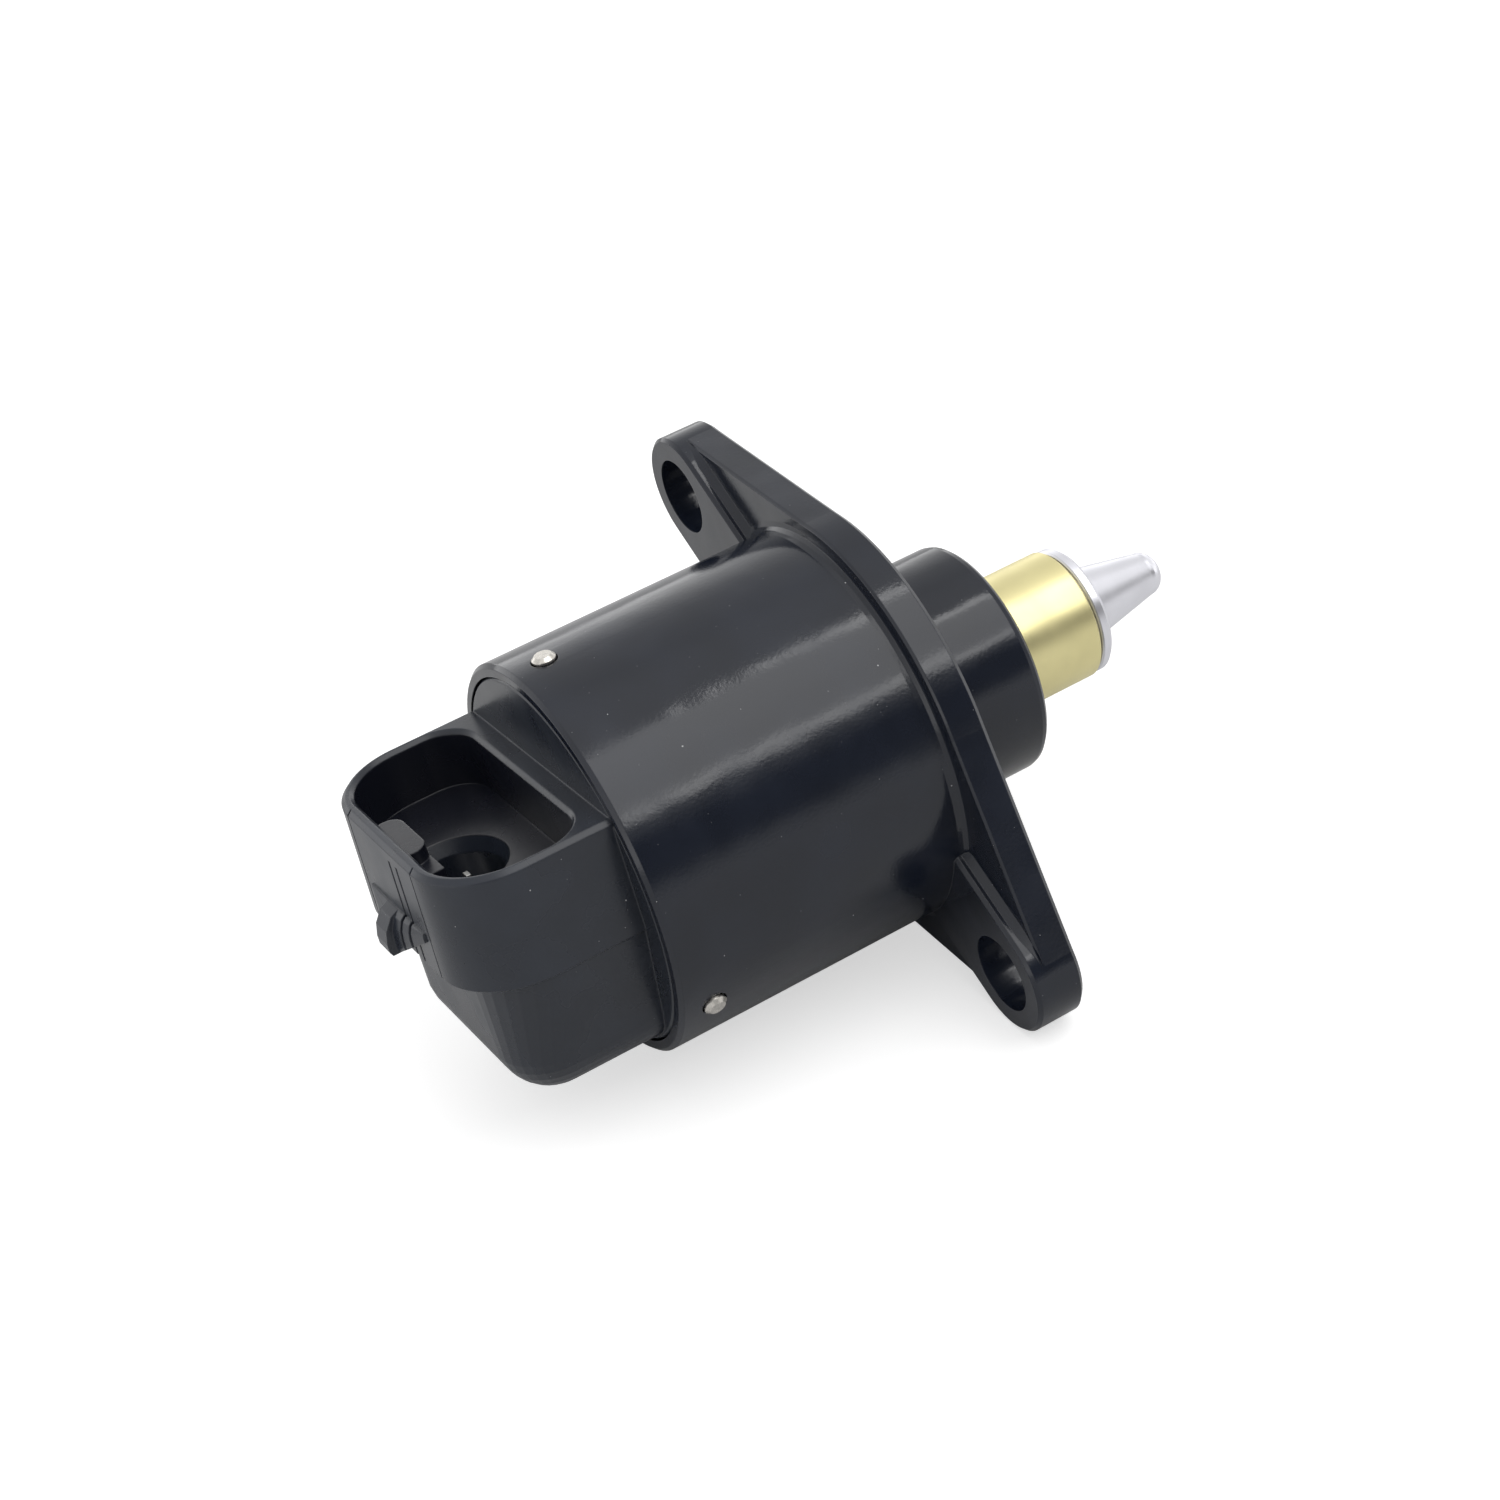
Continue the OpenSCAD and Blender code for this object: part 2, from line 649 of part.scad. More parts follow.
// Stator: two phases, each a cup and a plate with claw poles round a coil
module claw_ring(offset) {
    intersection() {
        ring(claw_r, bore_r, 0, steel_t + claw_l);
        for (k = [0:claws - 1]) rotate([360 * (k + offset) / claws, 0, 0])
            linear_extrude(claw_r + over) polygon([
                [-over, -claw_root / 2], [steel_t, -claw_root / 2], [steel_t + claw_l, -claw_tip / 2],
                [steel_t + claw_l, claw_tip / 2], [steel_t, claw_root / 2], [-over, claw_root / 2]]);
    }
}
module cup() {
    color(steel) {
        ring(stator_r, claw_r - 0.1, 0, steel_t);
        ring(stator_r, stator_r - steel_t, 0, phase_l);
        claw_ring(0);
    }
}
module pole_plate() {
    color(steel) translate([phase_l, 0, 0]) mirror([1, 0, 0]) {
        ring(stator_r - steel_t - run_clear, claw_r - 0.1, 0, steel_t);
        claw_ring(0.5);
    }
}
module bobbin() {
    a = steel_t + run_clear;
    b = phase_l - steel_t - run_clear;
    r0 = claw_r + run_clear;
    r1 = stator_r - steel_t - 2 * run_clear;
    color(nylon) turned([
        [r0, a], [r1, a], [r1, a + bobbin_t], [r0 + bobbin_t, a + bobbin_t],
        [r0 + bobbin_t, b - bobbin_t], [r1, b - bobbin_t], [r1, b], [r0, b]]);
}
module winding() {
    gap = steel_t + bobbin_t + 2 * run_clear;
    color(copper) ring(coil_r, claw_r + bobbin_t + 2 * run_clear, gap, phase_l - gap);
}
module rear_phase() {
    translate([plug_x, 0, 0]) children();
}
module front_phase() {
    translate([motor_x, 0, 0]) mirror([1, 0, 0]) rotate([180 / claws / 2, 0, 0]) children();
}

// Rotor: a ring magnet on a nut that turns in a bush and a ball bearing
module rotor_magnet() {
    color(magnet_grey) ring(magnet_r, nut_r, magnet_x, magnet_x + magnet_l);
}
module rotor_nut() {
    front = magnet_x + magnet_l;
    color(nylon) difference() {
        turned([
            [0, nut_tail_x], [journal_r, nut_tail_x], [journal_r, magnet_x], [nut_r, magnet_x],
            [nut_r, front], [journal_r, front], [journal_r, nut_front_x], [0, nut_front_x]]);
        barrel(screw_r + run_clear, nut_tail_x - over, nut_front_x + over);
        barrel(screw_r + thread_relief, nut_tail_x - over, motor_x - thread_l);
    }
}
module bearing_inner_race() {
    color(steel) race() ring(race_r - ball_d * 0.22, journal_r, motor_x + race_edge, race_x - race_edge);
}
module bearing_outer_race() {
    color(steel) race() ring(bearing_d / 2, race_r + ball_d * 0.22, motor_x, race_x);
}
// Cuts the groove that the balls run in
module race() {
    difference() {
        children();
        translate([(motor_x + race_x) / 2, 0, 0]) along_x() rotate_extrude()
            translate([race_r, 0]) circle(r = ball_d / 2 + run_clear, $fn = 48);
    }
}
module ball_places() {
    for (k = [0:balls - 1]) rotate([360 * k / balls, 0, 0])
        translate([(motor_x + race_x) / 2, 0, race_r]) children();
}
module bearing_balls() {
    color(bright) ball_places() sphere(d = ball_d, $fn = 32);
}
module bearing_cage() {
    mid = (motor_x + race_x) / 2;
    color(brass) difference() {
        ring(race_r + ball_d * 0.13, race_r - ball_d * 0.13, mid - ball_d * 0.4, race_x - 0.25);
        ball_places() sphere(r = ball_d / 2 + run_clear, $fn = 32);
    }
}
module rear_bush() {
    color(brass) ring(rear_bush_d / 2, journal_r + run_clear, plug_x - rear_bush_l, plug_x);
}
module disc_spring() {
    r_in = journal_r + 0.15;
    r_out = rear_bush_d / 2 - 0.2;
    rise = magnet_x - plug_x - spring_t - 0.04;
    color(steel) turned([
        [r_in, plug_x + rise], [r_out, plug_x], [r_out, plug_x + spring_t],
        [r_in, plug_x + rise + spring_t]]);
}

// Plunger: a screw held from turning by its flats, with the sleeve and the pintle on its end
module flatted(r, w, x0, x1) {
    intersection() {
        barrel(r, x0, x1);
        translate([x0, -w / 2, -r - over]) cube([x1 - x0, w, 2 * (r + over)]);
    }
}
module guide_bush() {
    foot = bore_x - guide_foot_t;
    color(nylon) difference() {
        union() {
            barrel(guide_foot_d / 2, foot, bore_x);
            barrel(guide_d / 2, foot, bore_x + guide_l);
        }
        flatted(screw_r + run_clear, flats_w + 2 * run_clear, foot - over, bore_x + guide_l + over);
    }
}
module lead_screw() {
    color(steel) flatted(screw_r, flats_w, screw_x, screw_x + screw_l);
}
module pintle_sleeve() {
    r = sleeve_r;
    front = sleeve_x + sleeve_l;
    color(gold) turned([
        [sleeve_in_r, sleeve_x], [r - 0.2, sleeve_x], [r, sleeve_x + 0.2], [r, front - 0.15],
        [r - 0.15, front], [sleeve_in_r, front]]);
}
module pintle_head() {
    r = disc_d / 2;
    tip_x = cone_x + cone_l;
    round = tip_d * 0.36;
    flat_r = tip_d / 2 - round;
    stem_x = screw_end_x - screw_grip;
    stem_r = screw_r + stem_wall;
    grip_x = disc_x - sleeve_grip;
    edge = disc_t * 0.15;
    bevel = disc_t * 0.3;
    color(bright) difference() {
        turned([
            [0, stem_x], [stem_r, stem_x], [stem_r, grip_x], [sleeve_in_r, grip_x],
            [sleeve_in_r, disc_x], [r - edge, disc_x], [r, disc_x + edge], [r, cone_x - bevel],
            [r - bevel, cone_x], [cone_d / 2, cone_x],
            for (a = [0:15:90]) [flat_r + round * cos(a), tip_x - round + round * sin(a)],
            [0, tip_x]]);
        barrel(screw_r, stem_x - over, screw_end_x);
    }
}

housing();
connector_cap();
cap_seal();
retaining_pin(0);  // retaining_pin_1
retaining_pin(1);  // retaining_pin_2
retaining_pin(2);  // retaining_pin_3
terminal(1);  // terminal_1
terminal(2);  // terminal_2
terminal(3);  // terminal_3
terminal(4);  // terminal_4
rear_bush();
disc_spring();
rear_phase() cup();  // stator_cup_rear
rear_phase() pole_plate();  // pole_plate_rear
rear_phase() bobbin();  // bobbin_rear
rear_phase() winding();  // winding_rear
front_phase() cup();  // stator_cup_front
front_phase() pole_plate();  // pole_plate_front
front_phase() bobbin();  // bobbin_front
front_phase() winding();  // winding_front
rotor_magnet();
rotor_nut();
bearing_outer_race();
bearing_inner_race();
bearing_balls();
bearing_cage();
guide_bush();
lead_screw();
pintle_sleeve();
pintle_head();
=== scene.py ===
"""Finishes, light and camera for the idle air control valve.

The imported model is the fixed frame: X runs along the valve axis toward the pintle and Z is up.
All lengths are metres, worked out from millimetres by MM.
"""

import logging
import math
from dataclasses import dataclass, field
from typing import Any, Dict, List, Sequence, Tuple, Union

import bpy
from mathutils import Matrix, Vector


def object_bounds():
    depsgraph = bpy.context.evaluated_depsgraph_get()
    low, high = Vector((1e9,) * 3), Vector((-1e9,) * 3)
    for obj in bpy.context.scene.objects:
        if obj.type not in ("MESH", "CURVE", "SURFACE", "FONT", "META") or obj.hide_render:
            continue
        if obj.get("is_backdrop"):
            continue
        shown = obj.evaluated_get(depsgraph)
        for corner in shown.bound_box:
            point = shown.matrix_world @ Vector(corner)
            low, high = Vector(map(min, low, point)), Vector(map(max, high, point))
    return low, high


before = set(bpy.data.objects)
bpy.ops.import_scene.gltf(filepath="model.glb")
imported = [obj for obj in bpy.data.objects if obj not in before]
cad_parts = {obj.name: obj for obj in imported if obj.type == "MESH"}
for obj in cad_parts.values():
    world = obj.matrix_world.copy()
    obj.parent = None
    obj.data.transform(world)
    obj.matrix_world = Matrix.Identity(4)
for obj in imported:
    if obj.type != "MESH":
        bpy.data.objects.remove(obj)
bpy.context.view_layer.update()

MM = 0.001
MIX_FIRST, MIX_SECOND, MIX_RESULT = 6, 7, 2
SPECK_SHARE, SPECK_GAIN = 0.35, 1.6
BEVEL_SAMPLES = 6
SENSOR_WIDTH = 36.0
CLIP_START = 10.0 * MM
LOG = logging.getLogger("valve")
Colour = Tuple[float, float, float]
Value = Union[float, Sequence[float], "Wire"]


class Wire:
    """One shader socket that can be used in arithmetic. Each operation adds a Math node."""

    def __init__(self, kit: "NodeKit", socket: Any) -> None:
        self.kit = kit
        self.socket = socket

    def _math(self, operation: str, first: Value, second: Value) -> "Wire":
        """Adds one Math node.

        Args:
            operation: The Math node's operation.
            first: Its first value.
            second: Its second value.

        Returns:
            The node's output.
        """
        return self.kit.node("ShaderNodeMath", {"operation": operation}, {0: first, 1: second})

    def __add__(self, other: Value) -> "Wire":
        """Returns the sum."""
        return self._math("ADD", self, other)

    __radd__ = __add__

    def __sub__(self, other: Value) -> "Wire":
        """Returns the difference."""
        return self._math("SUBTRACT", self, other)

    def __rsub__(self, other: Value) -> "Wire":
        """Returns the difference from a number."""
        return self._math("SUBTRACT", other, self)

    def __mul__(self, other: Value) -> "Wire":
        """Returns the product."""
        return self._math("MULTIPLY", self, other)

    __rmul__ = __mul__

    def __lt__(self, other: Value) -> "Wire":
        """Returns 1 where this is less than the other."""
        return self._math("LESS_THAN", self, other)

    def __gt__(self, other: Value) -> "Wire":
        """Returns 1 where this is greater than the other."""
        return self._math("GREATER_THAN", self, other)

    def __abs__(self) -> "Wire":
        """Returns the value without its sign."""
        return self._math("ABSOLUTE", self, 0.0)

    def clamped(self) -> "Wire":
        """Returns the value held between 0 and 1."""
        return self.kit.node("ShaderNodeClamp", {}, {"Value": self})


class NodeKit:
    """Builds one material's or world's node tree."""

    def __init__(self, tree: Any) -> None:
        """Empties the tree and keeps it."""
        self.tree = tree
        tree.nodes.clear()

    def node(
            self, kind: str, settings: Dict[str, Any], values: Dict[Any, Value],
            output: Any = 0) -> Wire:
        """Adds one node.

        Args:
            kind: The node's type.
            settings: Attributes that are set first. The key stops holds a ramp's stops.
            values: Numbers, tuples or wires, by the name or number of their socket.
            output: The name or number of the socket to return.

        Returns:
            The chosen output.
        """
        made = self.tree.nodes.new(kind)
        for name, setting in settings.items():
            if name == "stops":
                self._ramp(made.color_ramp, setting)
            else:
                setattr(made, name, setting)
        for name, value in values.items():
            if isinstance(value, Wire):
                self.tree.links.new(value.socket, made.inputs[name])
            else:
                made.inputs[name].default_value = value
        return Wire(self, made.outputs[output]) if made.outputs else Wire(self, None)

    @staticmethod
    def _ramp(ramp: Any, stops: Sequence[Tuple[float, float]]) -> None:
        """Sets a ramp's grey stops, as pairs of place and brightness."""
        while len(ramp.elements) < len(stops):
            ramp.elements.new(1.0)
        for element, (place, grey) in zip(ramp.elements, stops):
            element.position = place
            element.color = (grey, grey, grey, 1.0)

    def place(self) -> Wire:
        """Returns the place on the part, in metres."""
        return self.node("ShaderNodeTexCoord", {}, {}, "Object")

    def stretched(self, scale: Sequence[float]) -> Wire:
        """Returns the place on the part, scaled along each axis."""
        values = {0: self.place(), 1: scale}
        return self.node("ShaderNodeVectorMath", {"operation": "MULTIPLY"}, values)

    def noise(
            self, size: float, detail: float = 2.0,
            scale: Sequence[float] = (1.0, 1.0, 1.0)) -> Wire:
        """Adds soft noise.

        Args:
            size: The size of its patches, in metres.
            detail: How many finer layers it has.
            scale: How much it is squeezed along each axis.

        Returns:
            A value near 0.5.
        """
        values = {"Vector": self.stretched(scale), "Scale": 1.0 / size, "Detail": detail}
        return self.node("ShaderNodeTexNoise", {}, values, "Fac")

    def ramp(self, value: Value, stops: Sequence[Tuple[float, float]]) -> Wire:
        """Returns the value passed through a ramp of grey stops."""
        return self.node("ShaderNodeValToRGB", {"stops": stops}, {"Fac": value})

    def mixed(self, factor: Value, first: Value, second: Value) -> Wire:
        """Mixes two colours.

        Args:
            factor: How much of the second shows.
            first: The colour at factor 0.
            second: The colour at factor 1.

        Returns:
            The mixed colour.
        """
        values = {0: factor, MIX_FIRST: first, MIX_SECOND: second}
        return self.node("ShaderNodeMix", {"data_type": "RGBA"}, values, MIX_RESULT)

    def specks(self, spacing: float, radius: float) -> Wire:
        """Adds scattered dust.

        Args:
            spacing: The mean distance between specks, in metres.
            radius: The radius of the largest speck, in metres.

        Returns:
            1 on a speck and 0 elsewhere.
        """
        values = {"Vector": self.place(), "Scale": 1.0 / spacing}
        away = self.node("ShaderNodeTexVoronoi", {}, values, "Distance")
        chance = self.node("ShaderNodeTexVoronoi", {}, values, "Color")
        share = self.node("ShaderNodeSeparateColor", {}, {"Color": chance}, "Red")
        return away < (share - SPECK_SHARE) * (radius / spacing * SPECK_GAIN)

    def bump(self, height: Value, depth: float, normal: Union[Wire, None] = None) -> Wire:
        """Adds a bump.

        Args:
            height: The height, from 0 to 1.
            depth: The depth of a height of 1, in metres.
            normal: The normal that it starts from, or None.

        Returns:
            The bumped normal.
        """
        values: Dict[Any, Value] = {"Height": height, "Distance": depth, "Strength": 1.0}
        if normal is not None:
            values["Normal"] = normal
        return self.node("ShaderNodeBump", {}, values)

    def rounded(self, radius: float) -> Wire:
        """Returns normals that soften sharp edges over a radius in metres."""
        return self.node("ShaderNodeBevel", {"samples": BEVEL_SAMPLES}, {"Radius": radius})

    def surface(self, values: Dict[Any, Value]) -> None:
        """Joins a Principled surface with these values to the output."""
        shader = self.node("ShaderNodeBsdfPrincipled", {}, values)
        self.node("ShaderNodeOutputMaterial", {}, {"Surface": shader})


def rgba(colour: Colour) -> Tuple[float, float, float, float]:
    """Returns a colour with full alpha."""
    return (*colour, 1.0)


@dataclass(frozen=True)
class Finish:
    """What every finish has."""

    name: str
    colour: Colour
    roughness: float

    def values(self, kit: NodeKit) -> Dict[Any, Value]:
        """Returns the surface's values.

        Args:
            kit: The node tree to build in.

        Returns:
            Values for a Principled surface.
        """
        return {"Base Color": rgba(self.colour), "Roughness": self.roughness}

    def toned(self, gain: float) -> Tuple[float, float, float, float]:
        """Returns the finish's colour, darker or lighter by a gain, with full alpha."""
        red, green, blue = self.colour
        return (gain * red, gain * green, gain * blue, 1.0)

    def material(self) -> Any:
        """Makes the material.

        Returns:
            The Blender material.
        """
        made = bpy.data.materials.new(self.name)
        made.use_nodes = True
        kit = NodeKit(made.node_tree)
        kit.surface(self.values(kit))
        made.diffuse_color = rgba(self.colour)
        return made


@dataclass(frozen=True)
class MouldedPlastic(Finish):
    """Moulded plastic with a faint skin, handling haze and dust."""

    grain: float = 0.3 * MM
    grain_depth: float = 0.007 * MM
    wave: float = 5.0 * MM
    wave_depth: float = 0.09 * MM
    patch: float = 6.0 * MM
    patch_gain: float = 1.35
    haze: float = 0.08
    dust: Colour = (0.38, 0.38, 0.39)
    dust_spacing: float = 1.7 * MM
    dust_radius: float = 0.085 * MM
    dust_haze: float = 0.3
    fine_scale: float = 0.45
    fine_share: float = 0.6
    ior: float = 1.5
    edge: float = 0.12 * MM

    def values(self, kit: NodeKit) -> Dict[Any, Value]:
        """Returns the plastic's values, with bump for its skin. Args and Returns as in Finish."""
        patches = kit.ramp(kit.noise(self.patch, 4.0), [(0.4, 0.0), (0.7, 1.0)])
        dust = kit.specks(self.dust_spacing, self.dust_radius)
        fine_dust = kit.specks(
            self.dust_spacing * self.fine_scale, self.dust_radius * self.fine_scale)
        clean = kit.mixed(patches, rgba(self.colour), self.toned(self.patch_gain))
        base = kit.mixed((dust + fine_dust * self.fine_share).clamped(), clean, rgba(self.dust))
        roughness = (patches * self.haze + dust * self.dust_haze + self.roughness).clamped()
        wave = kit.bump(kit.noise(self.wave, 1.0), self.wave_depth, kit.rounded(self.edge))
        skin = kit.bump(kit.noise(self.grain, 3.0), self.grain_depth, wave)
        return {"Base Color": base, "Roughness": roughness, "IOR": self.ior, "Normal": skin}


@dataclass(frozen=True)
class SocketPlastic(MouldedPlastic):
    """Moulded plastic with painted shade in the plug's socket, where its colour is darkened.

    The socket is turned by roll about the valve axis. Seen from above it is a round-cornered box.
    """

    roll: float = -6.816
    corner: Tuple[float, float] = (-37.4 * MM, 6.85 * MM)
    corner_radius: float = 5.9 * MM
    front_x: float = -31.2 * MM
    rim: float = 9.25 * MM
    fade: float = 0.5 * MM
    floor: float = 4.1 * MM
    # Painted shade: the dark colour put on the socket's walls and floor in place of the recess's
    # shade.
    socket_painted_shade: Colour = (0.0075, 0.0085, 0.014)

    def painted_shade_mask(self, kit: NodeKit) -> Wire:
        """Marks where shade is painted in the socket, above its floor.

        Args:
            kit: The node tree to build in.

        Returns:
            1 where the socket's shade is painted in full, fading to 0 at its rim, and 0 elsewhere.
        """
        x, y, z = (
            kit.node("ShaderNodeSeparateXYZ", {}, {"Vector": kit.place()}, axis) for axis in "XYZ")
        cos, sin = math.cos(math.radians(self.roll)), math.sin(math.radians(self.roll))
        across = abs(y * cos + z * sin)
        height = z * cos - y * sin
        along = (self.corner[0] - x) * (x < self.corner[0])
        beyond = (across - self.corner[1]) * (across > self.corner[1])
        plan = (along * along + beyond * beyond < self.corner_radius ** 2) * (x < self.front_x)
        return plan * (height > self.floor) * ((self.rim - height) * (1.0 / self.fade)).clamped()

    def values(self, kit: NodeKit) -> Dict[Any, Value]:
        """Returns the plastic's values, with painted shade in the socket. Args and Returns as in
        Finish.
        """
        found = super().values(kit)
        painted_shade_mask = self.painted_shade_mask(kit)
        # Painted shade: the base colour turns dark in the socket, fading out at its rim, standing
        # in for the shade of the recess.
        found["Base Color"] = kit.mixed(painted_shade_mask, found["Base Color"], rgba(self.socket_painted_shade))
        return found


@dataclass(frozen=True)
class TurnedMetal(Finish):
    """Metal turned on a lathe, with fine rings round the valve axis."""

    ring: float = 0.12 * MM
    ring_depth: float = 0.0015 * MM
    patch: float = 3.0 * MM
    patch_haze: float = 0.12
    ring_haze: float = 0.1
    haze_offset: float = 0.08
    shade: float = 0.82
    edge: float = 0.06 * MM

    def values(self, kit: NodeKit) -> Dict[Any, Value]:
        """Returns the metal's values, with rings in its bump. Args and Returns as in Finish."""
        rings = kit.noise(self.ring, 3.0, (1.0, 0.02, 0.02))
        patches = kit.noise(self.patch, 3.0)
        worn = self.toned(self.shade)
        base = kit.mixed(kit.ramp(patches, [(0.35, 0.0), (0.7, 1.0)]), rgba(self.colour), worn)
        haze = patches * self.patch_haze + rings * self.ring_haze
        roughness = (haze + (self.roughness - self.haze_offset)).clamped()
        normal = kit.bump(rings, self.ring_depth, kit.rounded(self.edge))
        return {"Base Color": base, "Roughness": roughness, "Metallic": 1.0, "Normal": normal}


@dataclass(frozen=True)
class PlainMetal(Finish):
    """Pressed, drawn or plated metal with fine random marks."""

    mark: float = 0.4 * MM
    mark_depth: float = 0.002 * MM
    mark_haze: float = 0.2
    shade: float = 0.7
    edge: float = 0.08 * MM

    def values(self, kit: NodeKit) -> Dict[Any, Value]:
        """Returns the metal's values. Args and Returns as in Finish."""
        marks = kit.noise(self.mark, 4.0)
        dark = self.toned(self.shade)
        base = kit.mixed(kit.ramp(marks, [(0.4, 0.0), (0.75, 1.0)]), rgba(self.colour), dark)
        roughness = (marks * self.mark_haze + (self.roughness - self.mark_haze / 2)).clamped()
        normal = kit.bump(marks, self.mark_depth, kit.rounded(self.edge))
        return {"Base Color": base, "Roughness": roughness, "Metallic": 1.0, "Normal": normal}


@dataclass(frozen=True)
class WoundWire(Finish):
    """Enamelled wire wound in close turns round the valve axis."""

    wire: float = 0.18 * MM
    turns_per_band: float = 20.0
    groove_depth: float = 0.06 * MM
    groove_shade: float = 0.35

    def values(self, kit: NodeKit) -> Dict[Any, Value]:
        """Returns the winding's values. Args and Returns as in Finish."""
        settings = {"wave_type": "BANDS", "bands_direction": "X", "wave_profile": "SIN"}
        turns = kit.node(
            "ShaderNodeTexWave", settings,
            {"Vector": kit.place(), "Scale": 1.0 / (self.wire * self.turns_per_band),
             "Distortion": 0.4}, "Fac")
        # Painted shade: the grooves between the turns get a darker colour, standing in for the
        # shade between the wires.
        painted_groove_shade = self.toned(self.groove_shade)
        base = kit.mixed(kit.ramp(turns, [(0.1, 0.0), (0.5, 1.0)]), painted_groove_shade, rgba(self.colour))
        normal = kit.bump(turns, self.groove_depth)
        return {"Base Color": base, "Roughness": self.roughness, "Metallic": 0.9, "Normal": normal}


@dataclass(frozen=True)
class DullMoulding(Finish):
    """Rubber, nylon or ferrite: a matte skin with a fine grain."""

    grain: float = 0.3 * MM
    grain_depth: float = 0.006 * MM
    shade: float = 0.75

    def values(self, kit: NodeKit) -> Dict[Any, Value]:
        """Returns the moulding's values. Args and Returns as in Finish."""
        grain = kit.noise(self.grain, 4.0)
        dark = self.toned(self.shade)
        base = kit.mixed(kit.ramp(grain, [(0.35, 0.0), (0.7, 1.0)]), rgba(self.colour), dark)
        normal = kit.bump(grain, self.grain_depth)
        return {"Base Color": base, "Roughness": self.roughness, "Normal": normal}


GLOSS_BLACK = MouldedPlastic("housing_gloss_black", (0.008, 0.0105, 0.018), 0.12, haze=0.06)
# The cap's plastic has painted shade in its socket.
SATIN_CHARCOAL = SocketPlastic(
    "cap_satin_charcoal", (0.015, 0.0185, 0.027), 0.25, wave_depth=0.05 * MM, edge=0.2 * MM)
SEAL_RUBBER = DullMoulding("seal_rubber", (0.02, 0.02, 0.02), 0.55)
PIN_NICKEL = PlainMetal("pin_nickel", (0.74, 0.71, 0.66), 0.28)
TERMINAL_TIN = PlainMetal("terminal_tin", (0.66, 0.66, 0.64), 0.35)
BRONZE = PlainMetal("sintered_bronze", (0.62, 0.42, 0.2), 0.5, mark=0.15 * MM)
SPRING_STEEL = PlainMetal("spring_steel", (0.5, 0.5, 0.52), 0.3)
STATOR_STEEL = PlainMetal("stator_steel", (0.56, 0.57, 0.59), 0.4)
NYLON = DullMoulding("natural_nylon", (0.72, 0.69, 0.58), 0.45)
COPPER = WoundWire("copper_wire", (0.6, 0.26, 0.11), 0.32)
FERRITE = DullMoulding("ring_ferrite", (0.07, 0.07, 0.075), 0.6)
BEARING_STEEL = PlainMetal("bearing_steel", (0.68, 0.69, 0.71), 0.18)
SCREW_STEEL = TurnedMetal("screw_steel", (0.56, 0.57, 0.59), 0.35, ring=0.3 * MM)
PALE_GOLD = TurnedMetal(
    "sleeve_pale_gold", (0.87, 0.79, 0.42), 0.34, ring_depth=0.0006 * MM, shade=0.93)
BRIGHT_TURNED = TurnedMetal(
    "pintle_bright", (0.86, 0.86, 0.91), 0.3, ring=0.2 * MM, ring_depth=0.0004 * MM, shade=0.93)


@dataclass
class SubAssembly:
    """A group of pieces and the finish of each."""

    title: str
    finishes: Dict[str, Finish] = field(default_factory=dict)

    def dress(self, made: Dict[str, Any]) -> None:
        """Gives each piece its material.

        Args:
            made: Materials by the name of their finish, filled as they are first used.
        """
        for node, finish in self.finishes.items():
            if finish.name not in made:
                made[finish.name] = finish.material()
            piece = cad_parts[node]
            piece.data.materials.clear()
            piece.data.materials.append(made[finish.name])
            LOG.info("%s: %s in %s", self.title, node, finish.name)


def numbered(stem: str, count: int, finish: Finish) -> Dict[str, Finish]:
    """Gives like pieces one finish.

    Args:
        stem: The start of their names.
        count: How many there are.
        finish: Their finish.

    Returns:
        The finish by the name of each piece.
    """
    return {f"{stem}_{k + 1}": finish for k in range(count)}


class Casing(SubAssembly):
    """The body moulding, the connector cap and what holds and seals them."""

    def __init__(self) -> None:
        """Lists the casing's pieces."""
        pieces: Dict[str, Finish] = {
            "housing": GLOSS_BLACK, "connector_cap": SATIN_CHARCOAL, "cap_seal": SEAL_RUBBER}
        pieces.update(numbered("retaining_pin", 3, PIN_NICKEL))
        pieces.update(numbered("terminal", 4, TERMINAL_TIN))
        super().__init__("casing", pieces)


class Motor(SubAssembly):
    """The stator's two phases, the rotor and its bearings."""

    def __init__(self) -> None:
        """Lists the motor's pieces."""
        pieces: Dict[str, Finish] = {
            "rear_bush": BRONZE, "disc_spring": SPRING_STEEL, "rotor_magnet": FERRITE,
            "rotor_nut": NYLON, "bearing_outer_race": BEARING_STEEL,
            "bearing_inner_race": BEARING_STEEL, "bearing_balls": BEARING_STEEL,
            "bearing_cage": BRONZE}
        for phase in ("rear", "front"):
            pieces[f"stator_cup_{phase}"] = STATOR_STEEL
            pieces[f"pole_plate_{phase}"] = STATOR_STEEL
            pieces[f"bobbin_{phase}"] = NYLON
            pieces[f"winding_{phase}"] = COPPER
        super().__init__("motor", pieces)


class Plunger(SubAssembly):
    """The lead screw, its guide and the pintle that they move."""

    def __init__(self) -> None:
        """Lists the plunger's pieces."""
        super().__init__("plunger", {
            "guide_bush": NYLON, "lead_screw": SCREW_STEEL,
            "pintle_sleeve": PALE_GOLD, "pintle_head": BRIGHT_TURNED})


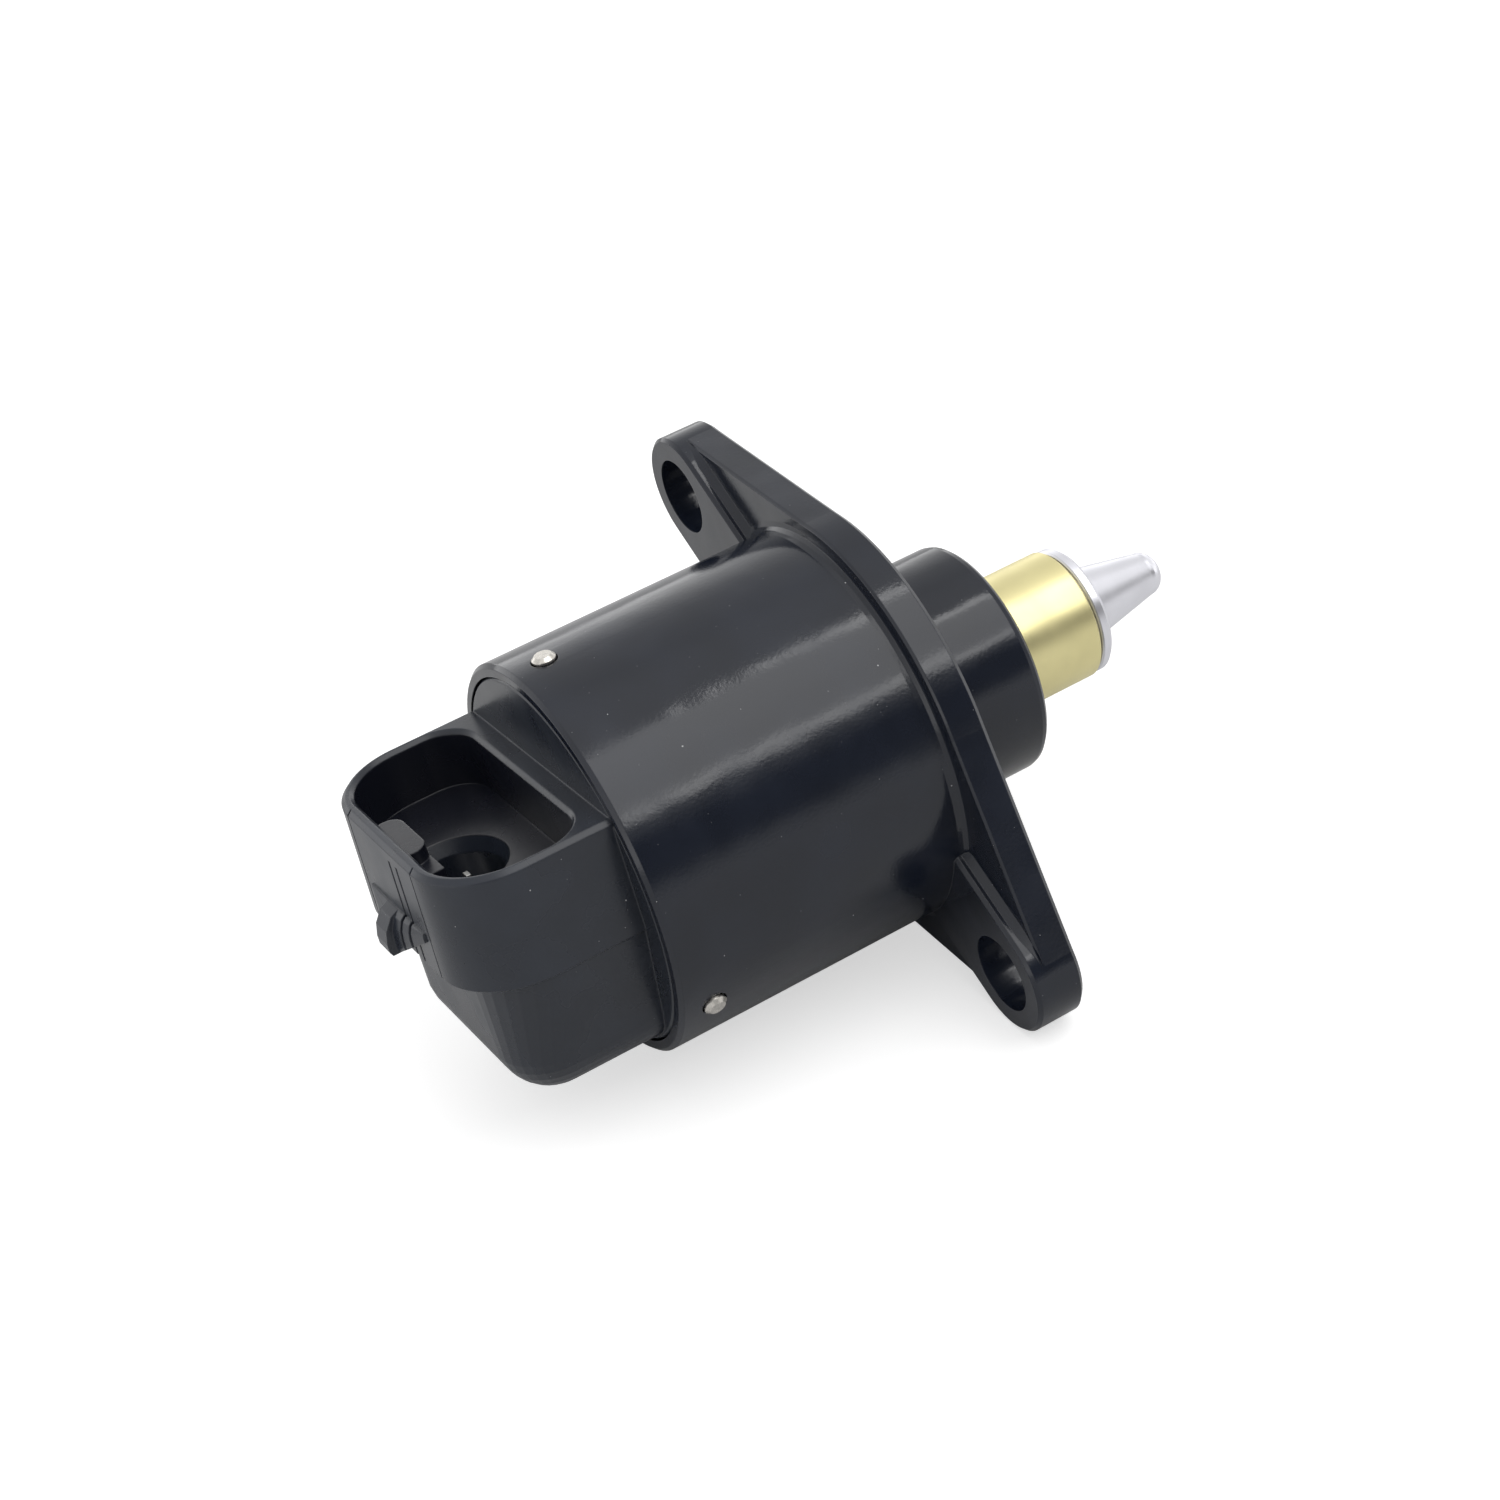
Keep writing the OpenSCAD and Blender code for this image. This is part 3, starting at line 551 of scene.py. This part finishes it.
@dataclass
class Studio:
    """The floor, the light and the camera."""

    floor_size: float = 1.4
    floor_grey: float = 0.66
    floor_lift: float = 0.6
    sky_peak: float = 1.84
    band_depth: float = 0.9
    lamps: Tuple[Tuple[str, Tuple[float, float, float], Tuple[float, float], float], ...] = (
        ("softbox", (0.2, -0.31, 0.6), (0.6, 0.48), 1.4),
        ("low_tube", (0.32, -0.48, 0.45), (0.34, 0.08), 0.2),
        ("high_tube", (0.36, -0.06, 0.66), (0.3, 0.06), 0.24))
    aim: Tuple[float, float, float] = (-12.234 * MM, 0.411 * MM, 1.546 * MM)
    distance: float = 245.1 * MM
    azimuth: float = -23.008
    elevation: float = 34.649
    roll: float = -12.886
    lens: float = 72.116

    def build(self) -> None:
        """Makes everything round the valve."""
        self._floor()
        self._world()
        for name, place, size, power in self.lamps:
            self._lamp(name, Vector(place), size, power)
        self._camera()
        LOG.info("studio: floor, light and camera")

    def _floor(self) -> None:
        """Makes a pale floor under the lowest point of the valve."""
        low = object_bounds()[0].z
        half = self.floor_size / 2
        mesh = bpy.data.meshes.new("floor")
        corners = [(-half, -half, low), (half, -half, low), (half, half, low), (-half, half, low)]
        mesh.from_pydata(corners, [], [(0, 1, 2, 3)])
        floor = bpy.data.objects.new("floor", mesh)
        bpy.context.scene.collection.objects.link(floor)
        material = bpy.data.materials.new("floor_white")
        material.use_nodes = True
        kit = NodeKit(material.node_tree)
        seen = kit.node("ShaderNodeLightPath", {}, {}, "Is Camera Ray")
        matte = kit.node("ShaderNodeBsdfDiffuse", {}, {"Color": rgba((self.floor_grey,) * 3)})
        glow = kit.node("ShaderNodeEmission", {}, {"Strength": seen * self.floor_lift})
        both = kit.node("ShaderNodeAddShader", {}, {0: matte, 1: glow})
        kit.node("ShaderNodeOutputMaterial", {}, {"Surface": both})
        mesh.materials.append(material)
        floor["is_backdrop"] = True

    def _world(self) -> None:
        """Makes a white room, brighter overhead, with a dark band on the camera's side."""
        world = bpy.data.worlds.new("white_room")
        bpy.context.scene.world = world
        world.use_nodes = True
        kit = NodeKit(world.node_tree)
        way = kit.node("ShaderNodeTexCoord", {}, {}, "Generated")
        north = kit.node("ShaderNodeSeparateXYZ", {}, {"Vector": way}, "Y")
        height = kit.node("ShaderNodeSeparateXYZ", {}, {"Vector": way}, "Z")
        sky = kit.ramp(height, [(0.0, 1.0), (0.25, 0.62), (0.55, 0.4), (0.8, 0.42), (1.0, 0.62)])
        band = kit.ramp(height, [(0.0, 0.7), (0.15, 1.0), (0.45, 1.0), (0.64, 0.0)])
        facing = kit.ramp(0.0 - north, [(0.35, 0.0), (0.65, 1.0)])
        grey = sky * self.sky_peak * (1.0 - band * facing * self.band_depth)
        seen = kit.node("ShaderNodeLightPath", {}, {}, "Is Camera Ray")
        strength = seen + (1.0 - seen) * grey
        white = rgba((1.0, 1.0, 1.0))
        room = kit.node("ShaderNodeBackground", {}, {"Color": white, "Strength": strength})
        kit.node("ShaderNodeOutputWorld", {}, {"Surface": room})

    def _lamp(self, name: str, place: Vector, size: Tuple[float, float], power: float) -> None:
        """Hangs one soft light with its long side along the valve.

        Args:
            name: The light's name.
            place: Where it hangs, in metres.
            size: Its length along the valve and its width, in metres.
            power: Its power in watts.
        """
        light = bpy.data.lights.new(name, "AREA")
        light.shape = "RECTANGLE"
        light.size, light.size_y = size
        light.energy = power
        lamp = bpy.data.objects.new(name, light)
        along = Vector((1.0, 0.0, 0.0))
        back = Vector((0.0, place.y, place.z)).normalized()
        turn = Matrix((along, back.cross(along), back)).transposed().to_4x4()
        lamp.matrix_world = Matrix.Translation(place) @ turn
        bpy.context.scene.collection.objects.link(lamp)

    def _camera(self) -> None:
        """Makes the camera at the photograph's angle."""
        turn, rise, tip = (math.radians(a) for a in (self.azimuth, self.elevation, self.roll))
        level_back = Vector((math.sin(turn), -math.cos(turn), 0.0))
        back = level_back * math.cos(rise) + Vector((0.0, 0.0, math.sin(rise)))
        level = Vector((math.cos(turn), math.sin(turn), 0.0))
        right = level * math.cos(tip) + back.cross(level) * math.sin(tip)
        up = back.cross(right)
        data = bpy.data.cameras.new("camera")
        data.sensor_width = SENSOR_WIDTH
        data.lens = self.lens
        data.clip_start = CLIP_START
        camera = bpy.data.objects.new("camera", data)
        rotation = Matrix((right, up, back)).transposed().to_4x4()
        camera.matrix_world = Matrix.Translation(Vector(self.aim) + back * self.distance) @ rotation
        bpy.context.scene.collection.objects.link(camera)
        bpy.context.scene.camera = camera
        bpy.context.scene.view_settings.view_transform = "Standard"


def main() -> None:
    """Builds each sub-assembly and the studio in order."""
    logging.basicConfig(level=logging.INFO, format="%(name)s: %(message)s")
    made: Dict[str, Any] = {}
    groups: List[SubAssembly] = [Casing(), Motor(), Plunger()]
    for group in groups:
        group.dress(made)
    Studio().build()


if __name__ == "__main__":
    main()
